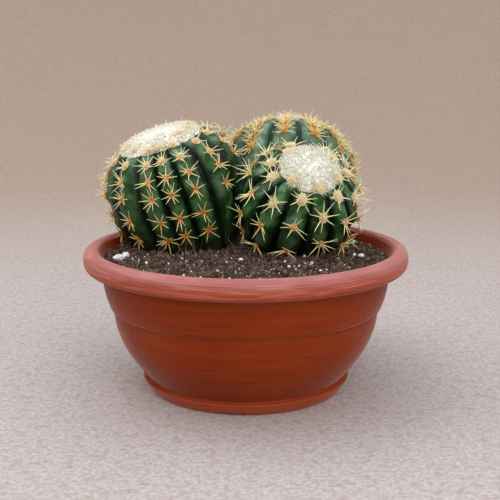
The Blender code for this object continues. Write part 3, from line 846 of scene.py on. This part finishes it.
def grains(places, sizes, flat, rng, sink, subdivisions, rough):
    """Small irregular lumps half sunk in the soil, with a map whose v varies by lump."""
    bm = bmesh.new()
    bmesh.ops.create_icosphere(bm, subdivisions=subdivisions, radius=1.0)
    shape = np.array([v.co[:] for v in bm.verts])
    tris = [tuple(v.index for v in f.verts) for f in bm.faces]
    bm.free()
    count = len(places)
    turns = rng.random(count) * 2.0 * math.pi
    stretch = np.stack([np.ones(count), rng.uniform(0.6, 1.0, count), rng.uniform(*flat, count)], axis=-1)
    lump = shape[None] * stretch[:, None] * (1.0 + rough * (rng.random((count, len(shape), 1)) - 0.5))
    lump = lump * sizes[:, None, None]
    tilt = rng.normal(0.0, 0.35, (count, 2))
    cos, sin = np.cos(turns)[:, None], np.sin(turns)[:, None]
    x = lump[..., 0] * cos - lump[..., 1] * sin
    y = lump[..., 0] * sin + lump[..., 1] * cos
    z = lump[..., 2] + x * tilt[:, :1] + y * tilt[:, 1:]
    ground = soil_height(places[:, 0], places[:, 1]) + sizes * stretch[:, 2] * (1.0 - 2.0 * sink)
    verts = np.stack([x + places[:, :1], y + places[:, 1:], z + ground[:, None]], axis=-1).reshape(-1, 3)
    shade = rng.random(count)
    faces, corners = [], []
    for one in range(count):
        base = one * len(shape)
        low = 0.02 + 0.9 * shade[one]
        for number, tri in enumerate(tris):
            faces.append(tuple(base + i for i in tri))
            u = 0.05 + 0.85 * (number % 10) / 10.0
            corners += [(u, low), (u + 0.06, low), (u + 0.03, low + 0.05)]
    return verts, faces, corners


def make_soil_bits(rng):
    """Crumbs, clods, sand and perlite; only perlite is shaded smooth."""
    stuffs = {
        "soil_crumbs": strand_material("soil_crumbs", fade((30, 20, 14), (62, 45, 34)),
                                       fade((84, 68, 60), (116, 98, 88)), 0.95),
        "soil_sand": strand_material("soil_sand", fade((138, 128, 116), (160, 150, 138)),
                                     fade((180, 172, 160), (205, 200, 192)), 0.85),
        "perlite_grains": strand_material("perlite_grains", fade((190, 188, 182), (214, 214, 210)),
                                          fade((236, 238, 240), (246, 247, 248)), 0.9),
    }
    for bit in SOIL_BITS:
        places = free_places(bit["count"], rng)
        sizes = bit["least"] + bit["extra"] * rng.random(bit["count"]) ** bit["power"]
        verts, faces, corners = grains(places, sizes, bit["flat"], rng, bit["sink"], bit["subdivisions"],
                                       bit["rough"])
        add_mesh(bit["name"], verts, faces, stuffs[bit["stuff"]], bit["slot"], uv=corners,
                 smooth_shade=bit["slot"] == "perlite")


def make_fibres(rng):
    """Peat fibres on the soil, and dry rootlets round each stem's foot."""
    count = FIBRES
    starts = free_places(count, rng)
    turn = rng.random(count) * 2.0 * math.pi
    length = rng.uniform(*FIBRE_LENGTHS, count)
    bend = rng.normal(0.0, 0.9, count)
    knots = 6
    share = np.linspace(0.0, 1.0, knots)
    heading = turn[:, None] + bend[:, None] * share
    x = starts[:, :1] + np.cumsum(np.cos(heading), axis=1) * length[:, None] / knots
    y = starts[:, 1:] + np.cumsum(np.sin(heading), axis=1) * length[:, None] / knots
    lift = rng.uniform(0.0, 0.0022, count)[:, None] * np.sin(math.pi * share) + 0.0003
    paths = np.stack([x, y, soil_height(x, y) + lift], axis=-1)
    thick = rng.uniform(*FIBRE_RADII, count)
    radii = thick[:, None] * (1.0 - 0.6 * share)
    bark = strand_material("soil_fibres", fade((70, 50, 36), (96, 72, 52)),
                           fade((140, 112, 84), (170, 142, 110)), 0.9)
    add_strands("peat_fibres", paths, radii, rng.random(count), 4, bark, "potting_soil")
    paths, radii = [], []
    for plant, number in ((LEFT, 90), (RIGHT, 110), (REAR, 30)):
        phase = rng.random(number) * plant.count
        polar = np.radians(rng.uniform(112.0, 132.0, number))
        start = plant.point(phase, polar)
        out = plant.outward(phase, polar)
        out[:, 2] = 0.0
        out = unit(out + rng.normal(0.0, 0.5, out.shape) * [1.0, 1.0, 0.0])
        reach = rng.uniform(*ROOTLET_LENGTHS, number)[:, None, None]
        path = start[:, None] + out[:, None] * reach * share[None, :, None]
        path = path + rng.normal(0.0, 0.0011, (number, knots, 3)) * share[None, :, None]
        ground = soil_height(path[..., 0], path[..., 1]) + 0.0004
        drop = share[None, :] ** 0.7
        path[..., 2] = np.maximum(path[..., 2] * (1.0 - drop) + ground * drop, ground - 0.001 * share)
        keep = (start[:, 2] < SOIL_CROWN + 0.016) & (start[:, 2] > SOIL_CROWN - 0.004)
        paths.append(path[keep])
        radii.append(rng.uniform(*ROOTLET_RADII, number)[keep][:, None] * (1.0 - 0.6 * share))
    paths, radii = np.concatenate(paths), np.concatenate(radii)
    straw = strand_material("dry_rootlets", fade((96, 66, 48), (150, 116, 88)),
                            fade((150, 120, 96), (206, 184, 156)), 0.85)
    add_strands("dry_rootlets", paths, radii, rng.random(len(paths)), 4, straw, "potting_soil")


def make_lumps(material):
    """The larger perlite lumps, each in the box of its CAD node."""
    for number in range(PERLITE_LUMPS):
        node = f"perlite_lump_{number + 1}"
        low, high = (np.array(corner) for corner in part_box(node))
        middle, half = (low + high) / 2.0, (high - low) / 2.0
        bm = bmesh.new()
        bmesh.ops.create_icosphere(bm, subdivisions=5, radius=1.0)
        shape = np.array([v.co[:] for v in bm.verts])
        faces = [tuple(v.index for v in f.verts) for f in bm.faces]
        bm.free()
        seed = 20 + number
        lumpy = 1.0 + 0.22 * noise(shape + number, 0.7, seed) + 0.10 * noise(shape, 0.28, seed) \
            + 0.05 * noise(shape, 0.11, seed)
        verts = middle + shape * lumpy[:, None] * half * 0.98
        add_mesh(f"{node}_grain", verts, faces, material, "perlite", [node])


# ---------------- the stems


def make_stem(plant, material):
    """A stem's skin, with masks for its crests, its foot, and its bloom, which carries painted sky light on
    upward faces.
    """
    columns = COLUMNS_PER_RIB * plant.count
    polar = np.linspace(0.0, math.pi, STEM_RINGS + 2)[1:-1]
    phase = np.arange(columns) / COLUMNS_PER_RIB
    polars, phases = np.meshgrid(polar, phase, indexing="ij")
    places = plant.point(phases, polars)
    out = unit(places - plant.centre)
    calm = smooth(math.radians(CALM_CROWN[0]), math.radians(CALM_CROWN[1]), polars)
    places = places + out * (layered(places, SKIN_NOISE) * (0.2 + 0.8 * calm))[..., None]
    crest = np.abs(np.cos(math.pi * phases)) * calm + (1.0 - calm) * CREST_AT_CROWN
    low = 1.0 - smooth(SOIL_CROWN, SOIL_CROWN + 0.030, places[..., 2])
    ends = [plant.point([0.0], [1e-4]), plant.point([0.0], [math.pi - 1e-4])]
    verts = np.concatenate([places.reshape(-1, 3)] + ends)
    # Painted sky light: skin that faces upward gets more bloom colour.
    upward = smooth(-0.5, 0.7, out[..., 2])
    clear = 1.0 - 0.6 * smooth(0.0, 0.8, plant.swelling(phases, polars)) * smooth(0.8, 1.0, crest)
    bloom = clear * (0.3 + 0.7 * upward) * plant.looks["bloom"]
    masks = {"crest": np.append(crest.ravel(), [0.7, 0.3]), "low": np.append(low.ravel(), [0.0, 1.0]),
             "bloom": np.append(bloom.ravel(), [0.0, 0.0])}
    add_mesh(f"{plant.name}_stem_skin", verts, closed_faces(STEM_RINGS, columns), material,
             plant.looks["slot"], [f"{plant.name}_stem"], masks=masks)


# ---------------- spines


def spine_paths(base, out, toward, length, curl, knots=6):
    """Curved paths that start at base, leave toward, and curl back along out."""
    share = np.linspace(0.0, 1.0, knots)[None, :, None]
    out = np.broadcast_to(out, toward.shape)
    straight = toward[:, None] * share
    lifted = out[:, None] * (curl[:, None, None] * share * share)
    return base[:, None] + (straight + lifted) * length[:, None, None]


def areole_frame(plant, rib, polar):
    """An areole's middle, on top of any wool, and the directions out, down the rib and sideways."""
    out = plant.outward(rib, polar)
    centre = plant.point(rib, polar) + out * felt_height(plant, polar)
    down = unit(plant.point(rib, polar + AREOLE_STEP) - plant.point(rib, polar - AREOLE_STEP))
    return centre, out, down, np.cross(down, out)


def cluster(plant, rib, polar, rng):
    """The spines of one areole: a star of seven to nine, or more if extra, and up to two in the middle."""
    size = smooth(0.15, 1.0, polar)
    centre, out, down, side = areole_frame(plant, rib, polar)
    ring = int(rng.integers(*SPINES_AROUND)) + plant.looks.get("extra", 0)
    turn = np.arange(ring) * 2.0 * math.pi / ring + rng.normal(0.0, 0.2, ring) + rng.random() * 2.0 * math.pi
    rise = np.radians(rng.uniform(*SPINE_RISE, ring))
    inner = int(rng.integers(*CENTRAL_SPINES))
    turn = np.append(turn, rng.random(inner) * 2.0 * math.pi)
    rise = np.append(rise, np.radians(rng.uniform(*CENTRAL_RISE, inner)))
    flat = np.cos(turn)[:, None] * side + np.sin(turn)[:, None] * down
    toward = unit(np.cos(rise)[:, None] * flat + np.sin(rise)[:, None] * out)
    length = plant.looks["spine"] * (0.62 + 0.38 * size) * rng.uniform(0.68, 1.14, len(turn))
    middle = np.arange(len(turn)) >= ring
    starts = centre + out * 0.0008 + flat * (felt_spread(plant, polar) * np.where(middle, 0.2, 0.55))[:, None]
    curl = rng.uniform(-0.16, 0.2, len(turn))
    paths = spine_paths(starts, out, toward, length, curl)
    share = np.linspace(0.0, 1.0, paths.shape[1])
    thick = rng.uniform(*SPINE_RADII, len(turn)) * (0.78 + 0.22 * size)
    radii = thick[:, None] * (1.0 - SPINE_TAPER * share ** 1.1)
    keep = np.ones(len(turn), bool)
    for where, towards in plant.meetings:
        keep &= ((paths[:, -1] - where) @ towards) < PAST_CONTACT
    ground = soil_height(paths[:, -1, 0], paths[:, -1, 1])
    keep &= paths[:, -1, 2] > ground - 0.003
    age = plant.looks["age"] + 0.5 * smooth(1.1, 2.0, polar) - 0.4 * (1.0 - smooth(0.6, 1.2, polar))
    shade = np.clip(age + rng.normal(0.0, 0.1, len(turn)), 0.0, 1.0)
    return paths[keep], radii[keep], shade[keep]


def felt_spread(plant, polar):
    """The radius of an areole's felt, which is widest near the crown."""
    return plant.looks["felt"] * (0.9 + 0.65 * (1.0 - smooth(*YOUNG_POLAR, polar)))


def cushion(plant, rib, polar, rng):
    """The felt of an areole, wider and paler near the crown: its hairs, and the dome under them."""
    youth = 1.0 - smooth(*YOUNG_POLAR, polar)
    count = int(100 + 150 * youth)
    centre, out, down, side = areole_frame(plant, rib, polar)
    spread = felt_spread(plant, polar)
    share = np.sqrt(rng.random(count))
    turn = rng.random(count) * 2.0 * math.pi
    flat = np.cos(turn)[:, None] * side * 0.85 + np.sin(turn)[:, None] * down * 1.15
    dome = 0.55 * spread * np.sqrt(1.0 - 0.9 * share ** 2)
    starts = centre + flat * (share * spread * 0.78)[:, None] + out * (dome - ROOT_DEPTH)[:, None]
    toward = unit(out + flat * share[:, None] * 1.7 + rng.normal(0.0, 0.3, (count, 3)))
    length = spread * rng.uniform(0.28, 0.55, count)
    paths = spine_paths(starts, out, toward, length, rng.uniform(-0.3, 0.15, count), 4)
    taper = FELT_HAIR_RADIUS * np.array([1.0, 0.95, 0.8, 0.45])
    radii = taper[None] * rng.uniform(0.8, 1.25, count)[:, None]
    age = plant.looks["age"] + 0.75 * smooth(0.75, 1.7, polar) + 0.2 - 0.35 * youth
    shade = np.clip(age + rng.normal(0.0, 0.07, count) - 0.12 * share, 0.0, 1.0)
    climb = np.linspace(0.0, 1.0, 6)
    core = centre + out * (climb * 0.62 * spread - ROOT_DEPTH)[:, None]
    girth = 0.8 * spread * np.sqrt(np.maximum(1.0 - climb ** 2, 0.01))
    return paths, radii, shade, core, girth


def shown_areoles(plant, rib):
    """The clusters of a rib that are clear of the neighbours and above the soil, from the wool down."""
    shown = []
    angles = plant.rib_areoles(rib)
    if plant.looks.get("dense"):
        angles = np.sort(np.append(angles, (angles[1:] + angles[:-1]) / 2.0))
    newest = 2 * angles[0] - angles[1]
    if newest > 0.6 * plant.wool_angle:
        angles = np.append(newest, angles)
    for polar in np.radians(angles):
        place = plant.point(rib, polar)
        free = all((place - where) @ towards < -CONTACT_ROOM for where, towards in plant.meetings)
        if free and place[2] >= SOIL_CROWN + SOIL_ROOM:
            shown.append(polar)
    return shown


def felt_height(plant, polar):
    """How thick the crown's wool is at an angle from the crown."""
    share = np.minimum(polar / math.radians(plant.wool_angle), 1.0)
    return WOOL_THICKNESS * (1.0 - share ** 4)


def make_spines(plant, horn, felt, rng):
    """The spines and the felt of each rib that has a node in the CAD."""
    nodes = set(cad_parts)
    for rib in range(plant.count):
        node = f"{plant.name}_spines_{rib + 1:02d}"
        polars = shown_areoles(plant, rib)
        if node not in nodes or not polars:
            continue
        made = [cluster(plant, rib, polar, rng) for polar in polars]
        paths, radii, shade = (np.concatenate(part) for part in zip(*made))
        add_strands(f"{node}_stars", paths, radii, shade, 5, horn, "spines", [node])
        made = [cushion(plant, rib, polar, rng) for polar in polars]
        paths, radii, shade = (np.concatenate(part) for part in list(zip(*made))[:3])
        cores = np.array([part[3] for part in made])
        girths = np.array([part[4] for part in made])
        ages = np.array([part[2].mean() for part in made])
        parts = [strands(paths, radii, shade, 3), strands(cores, girths, ages, 14)]
        verts, faces, corners = join_parts(parts)
        add_mesh(f"{plant.name}_felt_{rib + 1:02d}", verts, faces, felt, "crown_wool", uv=corners)


# ---------------- crown wool


def wool_surface(plant, phase, polar):
    """The top of the felt mat: lumpy, thick in the middle and thin at its edge."""
    thick = felt_height(plant, polar) + WOOL_EDGE
    bare = plant.point(phase, polar)
    lumps = 1.0 + WOOL_LUMP * noise(bare, WOOL_LUMP_SIZE, 9)
    return bare + plant.outward(phase, np.maximum(polar, 0.05)) * (thick * lumps)[..., None]


def make_wool(plant, mat, wool, rng):
    """A mat of felt over the crown with short hairs lying and standing on it."""
    limit = math.radians(plant.wool_angle) * 1.03
    count = WOOL_HAIRS
    polar = np.linspace(0.0, limit, WOOL_RINGS + 1)[1:]
    phase = np.arange(WOOL_COLUMNS) * plant.count / WOOL_COLUMNS
    polars, phases = np.meshgrid(polar, phase, indexing="ij")
    top = wool_surface(plant, phases, polars)
    low = plant.point(phases[::-1][::6], polars[::-1][::6], -ROOT_DEPTH)
    crown = (np.zeros(1), np.full(1, 1e-4))
    ends = [wool_surface(plant, *crown), plant.point(*crown, -ROOT_DEPTH)]
    verts = np.concatenate([top.reshape(-1, 3), low.reshape(-1, 3)] + ends)
    faces = closed_faces(WOOL_RINGS + len(low), WOOL_COLUMNS)
    add_mesh(f"{plant.name}_wool_mat", verts, faces, mat, "crown_wool", [f"{plant.name}_wool"])
    polar = limit * np.sqrt(rng.random(count))
    phase = rng.random(count) * plant.count
    base = wool_surface(plant, phase, polar)
    out = plant.outward(phase, np.maximum(polar, 0.05))
    share = polar / limit
    toward = unit(out * 0.75 + rng.normal(0.0, 0.62, (count, 3)))
    length = HAIR_LENGTH * rng.uniform(0.6, 1.25, count)
    paths = spine_paths(base - out * ROOT_DEPTH, out, toward, length, rng.uniform(-0.4, 0.3, count), 5)
    paths[:, 1:] += rng.normal(0.0, 0.0002, paths[:, 1:].shape)
    taper = HAIR_RADIUS * np.array([1.0, 0.95, 0.85, 0.65, 0.3])
    radii = taper[None] * rng.uniform(0.7, 1.3, count)[:, None]
    shade = np.clip(0.55 * share ** 2 + rng.normal(0.0, 0.12, count), 0.0, 1.0)
    add_strands(f"{plant.name}_wool_hairs", paths, radii, shade, 3, wool, "crown_wool")


# ---------------- stage, light and camera


def make_stage(material):
    """A round floor that curves up into a wall far from the bowl."""
    flat = STAGE_REACH - STAGE_BEND
    profile = [(radius, 0.0) for radius in (0.1, 0.2, 0.35, 0.5, 0.7, 0.85, flat)]
    for angle in np.radians(np.linspace(4.0, 90.0, 24)):
        profile.append((flat + STAGE_BEND * math.sin(angle), STAGE_BEND - STAGE_BEND * math.cos(angle)))
    rings = np.array(profile + [(STAGE_REACH, STAGE_RISE)])
    verts = np.concatenate([turned(rings, STAGE_COLUMNS).reshape(-1, 3), [[0.0, 0.0, 0.0]]])
    faces = [tuple(reversed(face)) for face in grid_faces(len(rings), STAGE_COLUMNS)]
    faces += [(len(verts) - 1, (j + 1) % STAGE_COLUMNS, j) for j in range(STAGE_COLUMNS)]
    reach_out = np.hypot(verts[:, 0], verts[:, 1])
    far = smooth(0.0, 1.5, reach_out) * smooth(-0.6, 0.8, verts[:, 1]) + smooth(0.1, 1.1, verts[:, 2])
    floor = add_mesh("floor", verts, faces, material, masks={"far": np.clip(far, 0.0, 1.0)})


def add_light(name, place, target, size, power, colour):
    data = bpy.data.lights.new(name, "AREA")
    data.shape = "DISK"
    data.size = size
    data.energy = power
    data.color = colour
    lamp = bpy.data.objects.new(name, data)
    lamp.location = place
    aim = Vector(target) - Vector(place)
    lamp.rotation_euler = aim.to_track_quat("-Z", "Y").to_euler()
    lamp.visible_camera = False
    bpy.context.collection.objects.link(lamp)


def make_light():
    world = bpy.data.worlds.new("studio")
    world.use_nodes = True
    background = world.node_tree.nodes["Background"]
    background.inputs["Color"].default_value = SKY_COLOUR
    background.inputs["Strength"].default_value = SKY_STRENGTH
    bpy.context.scene.world = world
    for light in LIGHTS:
        add_light(*light)


def make_camera():
    data = bpy.data.cameras.new("camera")
    data.lens = LENS
    data.sensor_width = 36.0
    camera = bpy.data.objects.new("camera", data)
    camera.location = (0.0, -CAMERA_DISTANCE, CAMERA_HEIGHT)
    camera.rotation_euler = (math.radians(90.0 - CAMERA_PITCH), 0.0, math.radians(CAMERA_YAW))
    bpy.context.collection.objects.link(camera)
    bpy.context.scene.camera = camera


def main():
    rng = np.random.default_rng(7)
    make_camera()
    make_light()
    bpy.context.scene.view_settings.view_transform = "Standard"
    set_meetings()
    make_stage(floor_material())
    make_bowl(bowl_material())
    make_soil(soil_material())
    make_soil_bits(rng)
    make_fibres(rng)
    make_lumps(pale_material("perlite", (176, 178, 178), (228, 231, 232), 900.0))
    green = stem_material("stem_green", GREEN_SKIN)
    blue = stem_material("stem_blue_green", BLUE_SKIN)
    horn = strand_material(
        "spines", tones((0.0, (232, 184, 96)), (0.16, (232, 224, 158)), (1.0, (240, 243, 210))),
        tones((0.0, (190, 88, 16)), (0.24, (206, 144, 52)), (0.5, (216, 196, 112)), (1.0, (228, 226, 168))),
        0.5)
    felt = strand_material("areole_felt", fade((244, 224, 170), (248, 243, 214)),
                           fade((212, 98, 12), (244, 150, 50)), 0.95, 0.0)
    wool = strand_material("crown_wool", fade((241, 242, 231), (244, 246, 237)),
                           fade((240, 234, 209), (244, 241, 224)), 0.95, 0.0)
    mat = pale_material("crown_felt", (244, 243, 230), (250, 250, 241), 700.0)
    for plant, skin in ((LEFT, green), (RIGHT, green), (REAR, blue)):
        make_stem(plant, skin)
        make_spines(plant, horn, felt, rng)
        make_wool(plant, mat, wool, rng)


main()
